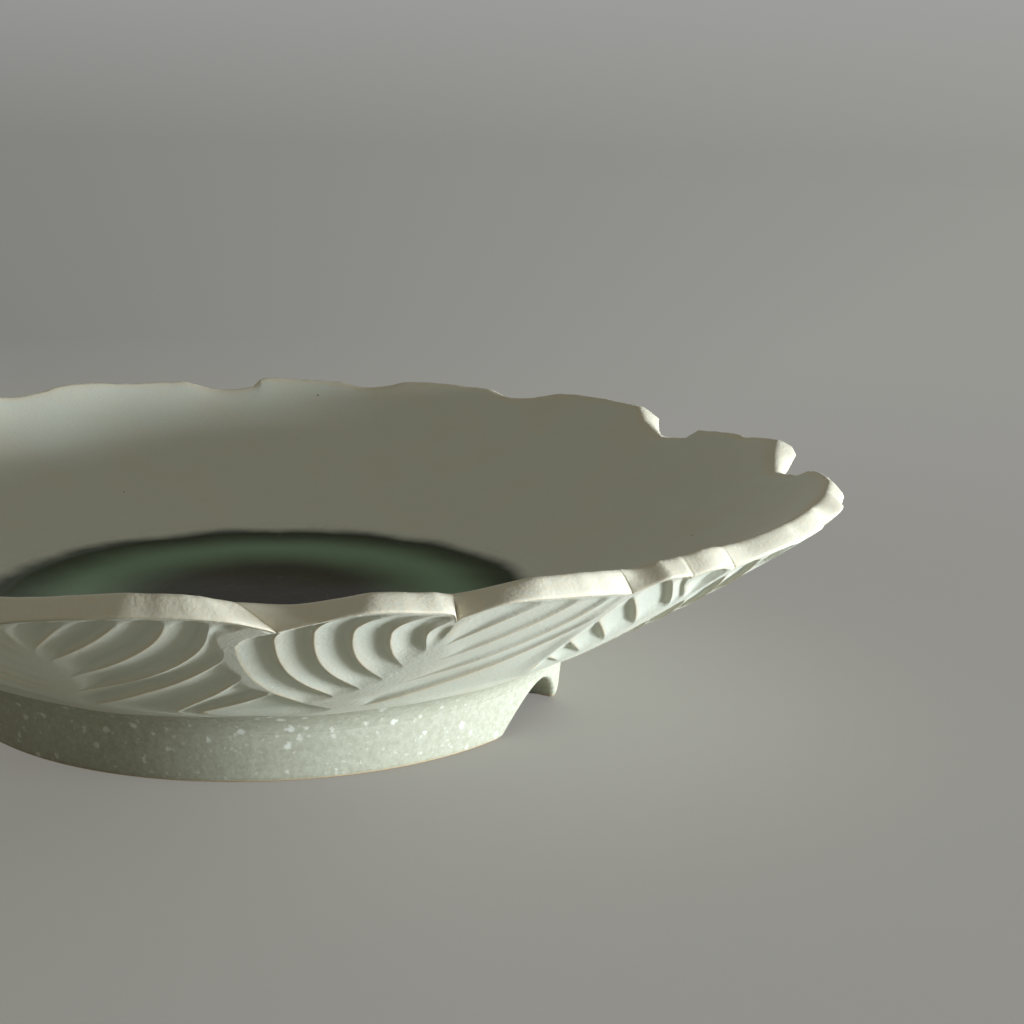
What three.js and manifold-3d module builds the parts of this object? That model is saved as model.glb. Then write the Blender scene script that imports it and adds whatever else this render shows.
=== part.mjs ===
// Salad plate: a stoneware dish with a scalloped rim and a ring of fluted leaves carved round its
// outside, standing on a notched foot ring that is luted on with slip, and with a pool of green
// glass melted into its well. Millimetres and degrees, +Z up. The origin is the middle of the
// foot on the table, and the foot's two notches lie on the X axis.
import * as THREE from "three";
import { mergeVertices } from "three/addons/utils/BufferGeometryUtils.js";
import Module from "manifold-3d";

// Dish: the rim is measured at the outer edge, on the crest of a lobe
const RIM_RADIUS = 111.6;
const RIM_HEIGHT = 43.4;
const RIM_THICKNESS = 4;
const WALL_BASE_THICKNESS = 7.5;
const WALL_SAG = 1.6;
const FLOOR_THICKNESS = 4.2;

// Well and its pool of glass
const WELL_RADIUS = 56;
const WELL_DRAFT = 1;
const POOL_DEPTH = 1.5;
const POOL_DIP = 0.4;
const MENISCUS = 4;
const WELL_LIP = 0.3;

// Foot ring
const FOOT_RADIUS = 58.6;
const FOOT_TAPER = 0.9;
const FOOT_WALL = 6.5;
const FOOT_HEIGHT = 12.5;
const FOOT_EDGE = 1.2;
const NOTCH_WIDTH = 36;
const NOTCH_HEIGHT = 7.7;

// Slip between the foot and the dish
const SLIP_THICKNESS = 0.6;
const SLIP_COVE = 2;
const COVE_EDGE = 0.3;
const FIT_GAP = 0.3;

// Leaves round the rim, cut by eye, so no two are alike: each has a short lobe of close flutes and a
// long lobe of wider ones, with a midrib between. Width and flutes of the short lobe, then the long one.
const LEAVES = [
  [13.5, 6, 20.3, 7],
  [13.8, 6, 14.4, 4],
  [5.5, 3, 6, 2],
  [10.5, 5, 9, 3],
  [6, 3, 21, 7],
  [11, 5, 14, 4],
  [13, 6, 15, 5],
  [13, 6, 15, 5],
  [11, 5, 13, 4],
  [13, 6, 16, 5],
  [12, 5, 15, 5],
  [13, 6, 18, 6],
  [11, 5, 13, 4],
  [10, 5, 14, 4],
];
const LEAF_TURN = -93;
const MIDRIB_LEAN = 30;
const SHORT_START = -3.2;
const SHORT_STEP_RATIO = 1.06;
const SHORT_SWEEP = 8;
const SHORT_FAN = 6.5;
const LONG_START = 2.1;
const LONG_STEP_RATIO = 1.21;
const LONG_SWEEP = 118;
const LONG_FAN = 0.73;
const SWEEP_DEPTH = 57;
const EDGE_CURL = 3.2;
const CURL_DEPTH = 7;
const RIDGE_SPACING = 0.3;

// Gouge that cuts the flutes
const FLUTE_DEPTH = 1.2;
const FLUTE_RATIO = 0.17;
const FLUTE_TOP = 2.7;
const FLUTE_END = 5;
const CARVING_FOOT = 8;
const CARVING_FADE = 10;

// Cut edge of the rim: how far each lobe starts and ends below its crest, and how proud it ends
const SHORT_LOBE_RISE = 6;
const SHORT_LOBE_FALL = 0.6;
const LONG_LOBE_RISE = 3;
const LONG_LOBE_FALL = 5;
const LOBE_RISE_SHARE = 0.4;
const LOBE_FALL_SHARE = 0.45;
const LOBE_FULL_WIDTH = 12;
const LOBE_PROUD = 1.2;
const PROUD_DEPTH = 18;

// Facets
const COLUMNS_PER_FLUTE = 2;
const WALL_ROWS = 8;
const ROW_CROWDING = 1.25;
const INNER_ROWS = 4;
const ROUND_SEGMENTS = 72;
const NOTCH_STEPS = 20;
const CURVE_STEPS = 3;

const { clamp, degToRad, lerp, smoothstep } = THREE.MathUtils;

const footTopRadius = FOOT_RADIUS + FOOT_TAPER;
const footInnerRadius = FOOT_RADIUS - FOOT_WALL;
const slipBottom = FOOT_HEIGHT - SLIP_THICKNESS;
const coveReach = FIT_GAP + SLIP_COVE;
const undersideRadius = footTopRadius + coveReach;
const poolBed = FOOT_HEIGHT + FLOOR_THICKNESS;
const wellTop = poolBed + POOL_DEPTH + WELL_LIP;

// Outside of the wall in radius and height: a chord from the underside to the rim, hanging by its sag
const wallFoot = new THREE.Vector2(undersideRadius, FOOT_HEIGHT);
const wallRim = new THREE.Vector2(RIM_RADIUS, RIM_HEIGHT);
const wallChord = wallRim.clone().sub(wallFoot);
const sagDirection = new THREE.Vector2(wallChord.y, -wallChord.x).normalize();
const wallMiddle = wallFoot.clone().lerp(wallRim, 0.5).addScaledVector(sagDirection, 2 * WALL_SAG);
const wall = new THREE.QuadraticBezierCurve(wallFoot, wallMiddle, wallRim);
const wallLength = wall.getLength();

// A point of the wall: a distance up its outside from the foot, and a depth square to it into the clay
function wallPoint(distance, depth) {
  const along = clamp(distance / wallLength, 0, 1);
  const tangent = wall.getTangentAt(along);
  return wall.getPointAt(along).add(new THREE.Vector2(-tangent.y, tangent.x).multiplyScalar(depth));
}

function wallThickness(distance) {
  return lerp(WALL_BASE_THICKNESS, RIM_THICKNESS, distance / wallLength);
}

// The lines of a leaf are numbered from its edge: the short lobe's ridges, both sides of the midrib,
// the long lobe's ridges, and then the next leaf's edge
const roundWidth = LEAVES.reduce((sum, [shortWidth, , longWidth]) => sum + shortWidth + longWidth, 0);
let leafStart = LEAF_TURN;
const leaves = LEAVES.map(([shortWidth, shortFlutes, longWidth, longFlutes]) => {
  const share = 360 / roundWidth;
  const leaf = {
    start: leafStart,
    pitch: (shortWidth + longWidth) * share,
    midribStart: shortWidth * share,
    midribLine: shortFlutes,
    shortStep: (SHORT_STEP_RATIO * (shortWidth * share - SHORT_START)) / shortFlutes,
    longStep: (LONG_STEP_RATIO * longWidth * share) / longFlutes,
    lines: shortFlutes + 1 + longFlutes,
  };
  leafStart += leaf.pitch;
  return leaf;
});

// Azimuth of a line from the start of its leaf, at a depth down the wall below the flutes' tops.
// Short ridges sweep forward to the midrib, long ones back to it, and none crosses its neighbour.
function lineAzimuth(leaf, line, depth) {
  const sweep = (Math.max(depth, 0) / SWEEP_DEPTH) ** 2;
  const curl = EDGE_CURL * clamp(1 - depth / CURL_DEPTH, 0, 1) ** 2;
  const edge = SHORT_START + SHORT_SWEEP * sweep + curl;
  if (line === leaf.lines) return edge + leaf.pitch;
  const leastMidrib = edge + RIDGE_SPACING * leaf.midribLine;
  const midrib = Math.max(leaf.midribStart - MIDRIB_LEAN * sweep ** 2, leastMidrib);
  if (line < leaf.midribLine) {
    const share = line / leaf.midribLine;
    const ridge = edge - curl * share + line * (leaf.shortStep + SHORT_FAN * sweep);
    const least = edge + RIDGE_SPACING * line;
    return clamp(ridge, least, midrib - RIDGE_SPACING * (leaf.midribLine - line));
  }
  if (line === leaf.midribLine) return midrib;
  const order = line - leaf.midribLine - 1;
  const top = leaf.midribStart + LONG_START + leaf.longStep * order;
  const ridge = top - LONG_SWEEP * LONG_FAN ** (order - 1) * sweep;
  const least = midrib + RIDGE_SPACING * (order + 1);
  const most = edge + leaf.pitch - RIDGE_SPACING * (leaf.lines - line);
  return order === 0 ? least : Math.min(Math.max(ridge, least), most);
}

// A column lies on a line or between two; towards the foot the columns part to even spacing
function columnAzimuth(leaf, column, distance) {
  const depth = wallLength - FLUTE_TOP - distance;
  const line = Math.floor(column);
  const ridge = lineAzimuth(leaf, line, depth);
  const next = lineAzimuth(leaf, line + 1, depth);
  const even = SHORT_START + (leaf.pitch * column) / leaf.lines;
  const parting = 1 - smoothstep(distance, 0, CARVING_FOOT + CARVING_FADE);
  return {
    azimuth: lerp(lerp(ridge, next, column - line), even, parting),
    fluteWidth: next - ridge,
  };
}

// Where an azimuth of the leaf lies across its lobe, from 0 to 1, and how low the lobe is cut there
function lobeAt(leaf, azimuth) {
  const short = azimuth <= leaf.midribStart;
  const width = short ? leaf.midribStart : leaf.pitch - leaf.midribStart;
  const share = clamp((short ? azimuth : azimuth - leaf.midribStart) / width, 0, 1);
  const rise = short ? SHORT_LOBE_RISE : LONG_LOBE_RISE;
  const fall = short ? SHORT_LOBE_FALL : LONG_LOBE_FALL;
  const start = Math.max(1 - share / LOBE_RISE_SHARE, 0) ** 2;
  const end = Math.max(1 - (1 - share) / LOBE_FALL_SHARE, 0) ** 2;
  return { share, drop: (rise * start + fall * end) * Math.min(width / LOBE_FULL_WIDTH, 1) };
}

// How deep the gouge cuts between two ridges: rounded at its top, running out above the foot
function fluteDepth(width, radius, distance, rimDistance) {
  const full = Math.min(FLUTE_DEPTH, FLUTE_RATIO * degToRad(width) * radius);
  const entry = clamp((rimDistance - FLUTE_TOP - distance) / FLUTE_END, 0, 1);
  const top = Math.sqrt(1 - (1 - entry) ** 2);
  return full * top * smoothstep(distance, CARVING_FOOT, CARVING_FOOT + CARVING_FADE);
}

// One column of the dish, from the axis under the floor, up the outside, over the rim, down the
// inside and across the pool's bed to the axis again
function dishColumn(leaf, column) {
  const rimAzimuth = columnAzimuth(leaf, column, wallLength).azimuth;
  const lobe = lobeAt(leaf, rimAzimuth);
  const rimDistance = wallLength - lobe.drop;
  const onFlute = column % 1 !== 0;
  const place = (point, azimuth) => {
    const turn = degToRad(leaf.start + azimuth);
    return new THREE.Vector3(point.x * Math.cos(turn), point.x * Math.sin(turn), point.y);
  };
  const proud = (distance) =>
    LOBE_PROUD * lobe.share ** 2 * Math.max(1 - (rimDistance - distance) / PROUD_DEPTH, 0) ** 2;

  const points = [new THREE.Vector3(0, 0, FOOT_HEIGHT)];
  for (let row = 0; row <= WALL_ROWS; row++) {
    const distance = rimDistance * (1 - (1 - row / WALL_ROWS) ** ROW_CROWDING);
    const { azimuth, fluteWidth } = columnAzimuth(leaf, column, distance);
    const radius = wallPoint(distance, 0).x;
    const cut = onFlute ? fluteDepth(fluteWidth, radius, distance, rimDistance) : 0;
    points.push(place(wallPoint(distance, cut - proud(distance)), azimuth));
  }
  const wellAzimuth = columnAzimuth(leaf, column, 0).azimuth;
  for (let row = 0; row <= INNER_ROWS; row++) {
    const distance = rimDistance * (1 - row / INNER_ROWS);
    const depth = wallThickness(distance) - proud(distance);
    points.push(place(wallPoint(distance, depth), lerp(rimAzimuth, wellAzimuth, row / INNER_ROWS)));
  }
  points.push(place(new THREE.Vector2(WELL_RADIUS, wellTop), wellAzimuth));
  points.push(place(new THREE.Vector2(WELL_RADIUS - WELL_DRAFT, poolBed), wellAzimuth));
  points.push(new THREE.Vector3(0, 0, poolBed));
  return points;
}

// A closed skin over columns that all start at one point of the axis and end at another
function skinColumns(columns) {
  const rings = columns[0].length - 2;
  const firstPole = columns.length * rings;
  const lastPole = firstPole + 1;
  const points = columns.flatMap((column) => column.slice(1, -1));
  points.push(columns[0][0], columns[0].at(-1));
  const index = [];
  columns.forEach((column, at) => {
    const here = at * rings;
    const beside = ((at + 1) % columns.length) * rings;
    index.push(firstPole, beside, here);
    for (let ring = 0; ring < rings - 1; ring++) {
      index.push(here + ring, beside + ring, beside + ring + 1);
      index.push(here + ring, beside + ring + 1, here + ring + 1);
    }
    index.push(lastPole, here + rings - 1, beside + rings - 1);
  });
  return new THREE.BufferGeometry().setFromPoints(points).setIndex(index);
}

function dishGeometry() {
  const columns = [];
  for (const leaf of leaves) {
    for (let step = 0; step < leaf.lines * COLUMNS_PER_FLUTE; step++) {
      columns.push(dishColumn(leaf, step / COLUMNS_PER_FLUTE));
    }
  }
  return skinColumns(columns);
}

// A section in radius and height, revolved about Z
function revolve(section) {
  return new THREE.LatheGeometry(section, ROUND_SEGMENTS).rotateX(Math.PI / 2);
}

function closedSection(path) {
  const points = path.getPoints(CURVE_STEPS);
  if (points.at(-1).distanceTo(points[0]) > 0) points.push(points[0].clone());
  return points;
}

const manifold = await Module();
manifold.setup();

function toSolid(geometry) {
  const bare = geometry.clone().deleteAttribute("normal").deleteAttribute("uv");
  const merged = mergeVertices(bare, 1e-4);
  const mesh = new manifold.Mesh({
    numProp: 3,
    vertProperties: merged.attributes.position.array,
    triVerts: new Uint32Array(merged.index.array),
  });
  return new manifold.Manifold(mesh);
}

function toGeometry(solid) {
  const { vertProperties, triVerts } = solid.getMesh();
  return new THREE.BufferGeometry()
    .setAttribute("position", new THREE.BufferAttribute(vertProperties, 3))
    .setIndex(new THREE.BufferAttribute(triVerts, 1));
}

// Ring with a small flare towards the dish and rounded standing edges
function footRingGeometry() {
  const section = new THREE.Path()
    .moveTo(FOOT_RADIUS - FOOT_EDGE, 0)
    .quadraticCurveTo(FOOT_RADIUS, 0, FOOT_RADIUS, FOOT_EDGE)
    .lineTo(footTopRadius, slipBottom)
    .lineTo(footInnerRadius, slipBottom)
    .lineTo(footInnerRadius, FOOT_EDGE)
    .quadraticCurveTo(footInnerRadius, 0, footInnerRadius + FOOT_EDGE, 0);
  const ring = toSolid(revolve(closedSection(section)));
  return toGeometry(ring.subtract(toSolid(notchCutterGeometry())));
}

// Bell-shaped bar along X that opens both notches: it rises from the table as a raised cosine
function notchCutterGeometry() {
  const halfWidth = NOTCH_WIDTH / 2;
  const outline = new THREE.Shape().moveTo(-halfWidth, -FOOT_EDGE);
  for (let step = 0; step <= NOTCH_STEPS; step++) {
    const across = (2 * step) / NOTCH_STEPS - 1;
    outline.lineTo(across * halfWidth, (NOTCH_HEIGHT * (1 + Math.cos(across * Math.PI))) / 2);
  }
  outline.lineTo(halfWidth, -FOOT_EDGE);
  const length = 2 * (footTopRadius + FOOT_WALL);
  const alongX = new THREE.Matrix4().makeBasis(
    new THREE.Vector3(0, 1, 0),
    new THREE.Vector3(0, 0, 1),
    new THREE.Vector3(1, 0, 0),
  );
  return new THREE.ExtrudeGeometry(outline, { depth: length, bevelEnabled: false })
    .translate(0, 0, -length / 2)
    .applyMatrix4(alongX);
}

// Saddle of slip over the top of the foot, wiped to a cove under the dish on each side
function lutingSlipGeometry() {
  const coveBottom = slipBottom - SLIP_COVE;
  const outerFace = footTopRadius + FIT_GAP;
  const innerFace = footInnerRadius - FIT_GAP;
  const innerReach = footInnerRadius - coveReach;
  const section = new THREE.Path()
    .moveTo(undersideRadius, FOOT_HEIGHT)
    .lineTo(innerReach, FOOT_HEIGHT)
    .quadraticCurveTo(innerFace - COVE_EDGE, slipBottom, innerFace - COVE_EDGE, coveBottom)
    .lineTo(innerFace, coveBottom)
    .lineTo(innerFace, slipBottom)
    .lineTo(outerFace, slipBottom)
    .lineTo(outerFace, coveBottom)
    .lineTo(outerFace + COVE_EDGE, coveBottom)
    .quadraticCurveTo(outerFace + COVE_EDGE, slipBottom, undersideRadius, FOOT_HEIGHT);
  return revolve(closedSection(section));
}

// Pool of glass on its bed, dished towards the middle, with a meniscus climbing to the well's side
function wellGlazeGeometry() {
  const bedRadius = WELL_RADIUS - WELL_DRAFT - FIT_GAP;
  const draftPerDepth = WELL_DRAFT / (POOL_DEPTH + WELL_LIP);
  const edgeRadius = bedRadius + draftPerDepth * POOL_DEPTH;
  const poolTop = poolBed + POOL_DEPTH;
  const level = poolTop - POOL_DIP;
  const section = new THREE.Path()
    .moveTo(0, poolBed)
    .lineTo(bedRadius, poolBed)
    .lineTo(edgeRadius, poolTop)
    .quadraticCurveTo(edgeRadius - MENISCUS / 3, level, edgeRadius - MENISCUS, level)
    .lineTo(0, level);
  return revolve(section.getPoints(CURVE_STEPS));
}

const paleGlaze = new THREE.MeshStandardMaterial({ color: "#dfe6dc", roughness: 0.45, metalness: 0 });
const footGlaze = new THREE.MeshStandardMaterial({ color: "#d6ded3", roughness: 0.5, metalness: 0 });
const slipClay = new THREE.MeshStandardMaterial({ color: "#d9d8c8", roughness: 0.6, metalness: 0 });
const greenGlass = new THREE.MeshStandardMaterial({ color: "#2f3a2c", roughness: 0.12, metalness: 0 });

const pieces = [
  ["dish", dishGeometry(), paleGlaze],
  ["foot_ring", footRingGeometry(), footGlaze],
  ["luting_slip", lutingSlipGeometry(), slipClay],
  ["well_glaze", wellGlazeGeometry(), greenGlass],
];

const plate = new THREE.Group();
for (const [name, geometry, material] of pieces) {
  const mesh = new THREE.Mesh(geometry, material);
  mesh.name = name;
  plate.add(mesh);
}

export default plate;
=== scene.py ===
from collections import namedtuple

import bmesh
import bpy
import numpy as np
from mathutils import Matrix, Vector


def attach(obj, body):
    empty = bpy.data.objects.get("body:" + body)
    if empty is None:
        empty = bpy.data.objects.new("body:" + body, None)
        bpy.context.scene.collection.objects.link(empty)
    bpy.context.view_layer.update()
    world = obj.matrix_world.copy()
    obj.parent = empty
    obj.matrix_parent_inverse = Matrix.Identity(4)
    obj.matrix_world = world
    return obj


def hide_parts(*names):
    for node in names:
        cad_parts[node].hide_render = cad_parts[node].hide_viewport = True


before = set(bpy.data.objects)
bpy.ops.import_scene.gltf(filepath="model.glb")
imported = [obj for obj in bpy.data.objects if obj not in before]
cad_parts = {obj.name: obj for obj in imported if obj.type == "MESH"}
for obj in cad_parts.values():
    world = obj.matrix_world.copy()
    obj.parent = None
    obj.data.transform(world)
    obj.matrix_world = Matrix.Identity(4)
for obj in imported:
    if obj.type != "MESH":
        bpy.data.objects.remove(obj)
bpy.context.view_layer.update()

# Dish: a flared bowl of pale stoneware, thrown, its rim cut into lobes and its outside carved with a
# gouge into fluted leaves while the clay was leather hard, then dipped whole in a satin ash glaze.
# Lengths are in millimetres and angles in degrees, as the potter would read them.
MM = 0.001
RIM_RADIUS, RIM_HEIGHT, RIM_THICKNESS = 111.6, 43.4, 4.0
WALL_FOOT_RADIUS, FLOOR_UNDERSIDE = 61.8, 12.5
WALL_BASE_THICKNESS, WALL_SAG, WALL_POINTS, PAST_RIM = 7.5, 1.6, 800, 1.05
WELL_RADIUS, WELL_BED_RADIUS, WELL_TOP, WELL_BED = 56.0, 55.0, 18.5, 16.7
WELL_LIP_WIDTH, WELL_LIP_ROUND = 0.5, 0.2

# The leaves in order round the rim: width and flutes of the short lobe, width and flutes of the long
# one, how deep the rim is notched where the leaf and where its long lobe start, over what share of the
# long lobe the rim rises again, how late it falls at the end, how hard the long flutes were pressed, and
# 1 where the short flutes start one below the other on the leaf's edge
Leaf = namedtuple("Leaf", "short_width shorts long_width longs notch mid_notch rise late press edge_flutes")
LEAVES = [
    Leaf(13.5, 6, 20.3, 8, 5.0, 4.6, 0.55, 6.0, 1.0, 0), Leaf(13.2, 6, 15.0, 5, 5.6, 4.7, 0.25, 2.0, 0.4, 0),
    Leaf(5.5, 6, 6.0, 2, 3.4, 1.6, 0.4, 2.0, 0.8, 1), Leaf(10.5, 6, 9.0, 3, 2.2, 1.4, 0.4, 2.0, 0.8, 1),
    Leaf(7.0, 3, 23.0, 7, 2.4, 1.2, 0.5, 1.3, 0.9, 0), Leaf(12.5, 5, 16.0, 4, 11.0, 4.0, 1.0, 1.1, 0.9, 1),
    Leaf(11.6, 5, 13.5, 4, 13.0, 0.6, 0.5, 2.4, 0.9, 1), Leaf(9.9, 5, 11.5, 4, 5.0, 0.6, 0.5, 2.4, 0.9, 0),
    Leaf(9.0, 4, 10.0, 3, 4.2, 0.8, 0.5, 4.0, 0.9, 0), Leaf(13.0, 6, 16.0, 5, 6.0, 1.6, 0.5, 2.4, 1.0, 0),
    Leaf(12.0, 5, 15.0, 5, 4.6, 2.6, 0.45, 3.0, 0.9, 0), Leaf(13.0, 6, 18.0, 6, 5.0, 3.8, 0.4, 5.0, 1.0, 0),
    Leaf(12.5, 5, 15.0, 5, 5.4, 4.2, 0.35, 3.0, 0.9, 0), Leaf(12.5, 5, 16.0, 4, 5.0, 4.4, 0.4, 2.4, 1.0, 0),
]
LEAF_TURN = -93.0

# The ridges between the flutes: how the midrib, the short ridges, those that start on a leaf's edge and
# the long ones run down the wall, how near they come to each other, and where the gouge spares the wall
MIDRIB_LEAN, RIDGE_SPACING, BLEND, LEAST_BLEND = 30.0, 0.3, 1.0, 0.01
SWEEP_TOP, SWEEP_DEPTH, CURL_TOP, CURL_DEPTH = 4.25, 57.0, 0.9, 5.8
SHORT_START, SHORT_STEP_RATIO, SHORT_SWEEP, SHORT_BEND, SHORT_FAN = -3.2, 1.06, 20.0, 1.5, 5.8
EDGE_LEAN, EDGE_STEP, EDGE_FLUTES, EDGE_SPACING, EDGE_BLEND = 0.48, 4.5, 4.37, 0.06, 0.6
EDGE_MIDRIB, EDGE_MIDRIB_RUN = 4.8, (1, 14)
LONG_START, LONG_STEP_RATIO, MOST_STEPS = 3.4, 1.05, 7
LONG_SWEEP = (23.0, 39.0, 45.0, 43.0, 29.0, 17.0, 20.0)
LONG_BEND = (1.0, 1.4, 1.85, 2.25, 1.9, 1.7, 3.0)
FADE_FROM, LEAST_FADE = -0.1, 0.2
MIDRIB_FADE, MIDRIB_FADE_RUN, END_FADE, END_FADE_RUN = 5.5, (8, 24), 1.4, (3, 10)

# The gouge: a flute is deepest past its middle and rises steeply to the next ridge, its top is an arch,
# and one that is still narrow isn't cut to the full depth
FLUTE_DEPTH, FLUTE_RATIO, FLUTE_TOP, FLUTE_END, NARROW_FLUTE = 1.2, 0.19, 1.1, 1.5, (0.6, 2.4)
DEEPEST_SHARE, FLUTE_FLAT, FLUTE_RISE = 0.8, 0.5, 0.7
ARCH, ARCH_SHARE, CORNER, CORNER_FROM, SHORT_ARCH = 3.4, 0.55, 1.0, 0.75, 0.3
HAND_PRESSURE, SHORT_PRESS = (0.86, 1.12), 0.75
CARVING_FOOT, CARVING_FADE = 2.5, 5.5

# The cut rim: the crests of its outer and inner edge above the wall's nominal end, its lobes, which rise
# and fall over a share of their width, and the creases that lean over the cut where two leaves meet
OUTER_CREST, INNER_CREST, RIM_LEVEL, RIM_TILT = 0.35, -0.3, 0.5, np.pi / 3
SHORT_RISE_SHARE, SHORT_RISE_BEND, SHORT_FALL, SHORT_FALL_SHARE, SHORT_FALL_BEND = 0.45, 1.3, 2.9, 0.5, 1.6
LONG_RISE_BEND, LONG_FALL_SHARE, NOTCH_STEP, CUT_MARGIN, FULL_NOTCH = 1.5, 0.85, 0.3, 1.5, 4.5
LOBE_CORNER, CORNER_SHARE = 2.6, 0.06
INNER_SHARE, SHORT_INNER_CREST, INNER_START, INNER_RISE = 0.75, 1.2, (0, 0.2), (0.2, 0.52)
INNER_FALLS, LONG_INNER_RISE = ((0.6, 0.55, 0.95), (0.4, 0.85, 1.0)), 0.45
CREASE_LEAN, CREASE_LEVEL, CREASE_WIDTH, CREASE_REACH = 0.55, 0.72, 12.0, 0.45
CUT_WOBBLE, CUT_WAVES = 0.045, ((61, 1.0), (97, 0.4), (149, 0.0))

# Slow waves that throwing and turning leave: size, count round the plate, slant up the wall and start
HAND_WAVES = ((1.0, 5, 0.09, 0.0), (0.7, 11, -0.13, 2.0), (0.5, 23, 0.21, 0.7))
OUTSIDE_WAVE, INSIDE_WAVE = 0.06, 0.1

# Where the glaze breaks thin: each side of a ridge, along the lip of an arch and on the cut band
RIDGE_AFTER, RIDGE_BEFORE, WORN_WIDTH, HOLLOW = (0.0, 0.2), (0.9, 1.0), (1.0, 4.0), 0.8
LIP_WEAR, LIP_WIDTH, BAND_WEAR, ARRIS = 0.8, (0.1, 0.6), 0.75, 0.3

# The mesh: columns across a flute and beside the midrib, rows up the outside, over the cut edge (depth
# into the clay and distance past the cut) and down the inside
FLUTE_SHARES = (0.0, 0.06, 0.18, 0.35, 0.53, 0.7, 0.82, 0.93)
STEP_SHARES = (0.0, 0.5)
OUTER_ROWS, ROW_CROWDING, INNER_ROWS, INNER_CROWDING = 54, 1.35, 12, 1.3
CUT_EDGE = (
    (0.30, -0.85), (0.24, -0.5), (-0.06, -0.3), (0.04, -0.04), (0.4, 0.1), (1.3, 0.16),
    (2.4, 0.16), (3.1, 0.08), (3.55, -0.12), (3.88, -0.5), (4.0, -1.1),
)
MERGE_DISTANCE = 1e-7


def curve(start, middle, end, share):
    """A plain curve that leaves the start and reaches the end along lines through the middle point."""
    return (1 - share) ** 2 * start + 2 * share * (1 - share) * middle + share ** 2 * end


wall_foot, wall_rim = np.array([WALL_FOOT_RADIUS, FLOOR_UNDERSIDE]), np.array([RIM_RADIUS, RIM_HEIGHT])
chord = wall_rim - wall_foot
hang = np.array([chord[1], -chord[0]]) / np.hypot(*chord)
wall_middle = (wall_foot + wall_rim) / 2 + hang * 2 * WALL_SAG
along = np.linspace(0.0, PAST_RIM, WALL_POINTS)[:, None]
wall_line = curve(wall_foot, wall_middle, wall_rim, along)
wall_run = np.concatenate([[0], np.cumsum(np.hypot(*np.diff(wall_line, axis=0).T))])
wall_slope = np.gradient(wall_line, axis=0)
wall_slope /= np.hypot(*wall_slope.T)[:, None]
wall_length = np.interp(1.0, along[:, 0], wall_run)


def wall_point(distance, depth):
    """Radius and height at a distance up the outside from the foot and a depth square to it into the clay."""
    radius, height = (np.interp(distance, wall_run, side) for side in wall_line.T)
    outward, upward = (np.interp(distance, wall_run, side) for side in wall_slope.T)
    return radius - depth * upward, height + depth * outward


def ease(value, low, high):
    """0 below low, 1 above high and a smooth rise between."""
    share = np.clip((value - low) / (high - low), 0, 1)
    return share * share * (3 - 2 * share)


def lower(first, second, blend):
    """The lower of two values, rounded over where they cross."""
    near = np.maximum(1 - np.abs(first - second) / blend, 0)
    return np.minimum(first, second) - near * near * blend / 4


def crease_lean(before, leaf):
    """How far the crease where a leaf starts leans over the cut, less where its lobes are narrow."""
    return CREASE_LEAN * leaf.notch * min(leaf.short_width, before.long_width, CREASE_WIDTH) / CREASE_WIDTH


# Every column of the mesh: its leaf, the ridge on its left and how far it lies towards the next ridge
rng = np.random.default_rng(7)
columns = []
leaf_start = LEAF_TURN
for at, leaf in enumerate(LEAVES):
    next_leaf = LEAVES[(at + 1) % len(LEAVES)]
    even_step = SHORT_STEP_RATIO * (leaf.short_width - SHORT_START) / leaf.shorts
    shared = {
        "start": leaf_start, "pitch": leaf.short_width + leaf.long_width, "midrib": leaf.short_width,
        "shorts": leaf.shorts, "longs": leaf.longs, "lines": leaf.shorts + 1 + leaf.longs,
        "short_step": EDGE_STEP if leaf.edge_flutes else even_step,
        "long_step": LONG_STEP_RATIO * leaf.long_width / min(leaf.longs, MOST_STEPS),
        "notch": leaf.notch, "mid_notch": leaf.mid_notch, "next_notch": next_leaf.notch,
        "rise": leaf.rise, "late": leaf.late,
        "edge_flutes": leaf.edge_flutes, "next_edge_flutes": next_leaf.edge_flutes,
        "crease": crease_lean(LEAVES[at - 1], leaf), "next_crease": crease_lean(leaf, next_leaf),
    }
    for line in range(leaf.shorts + 1 + leaf.longs):
        gouge = rng.uniform(*HAND_PRESSURE) * (leaf.press if line > leaf.shorts else SHORT_PRESS)
        for across in STEP_SHARES if line == leaf.shorts else FLUTE_SHARES:
            columns.append({**shared, "line": line, "across": across, "gouge": gouge})
    leaf_start += leaf.short_width + leaf.long_width
col = {name: np.array([column[name] for column in columns], float) for name in columns[0]}
column_count = len(columns)
short_flute, on_midrib = col["line"] < col["shorts"], col["line"] == col["shorts"]


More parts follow.
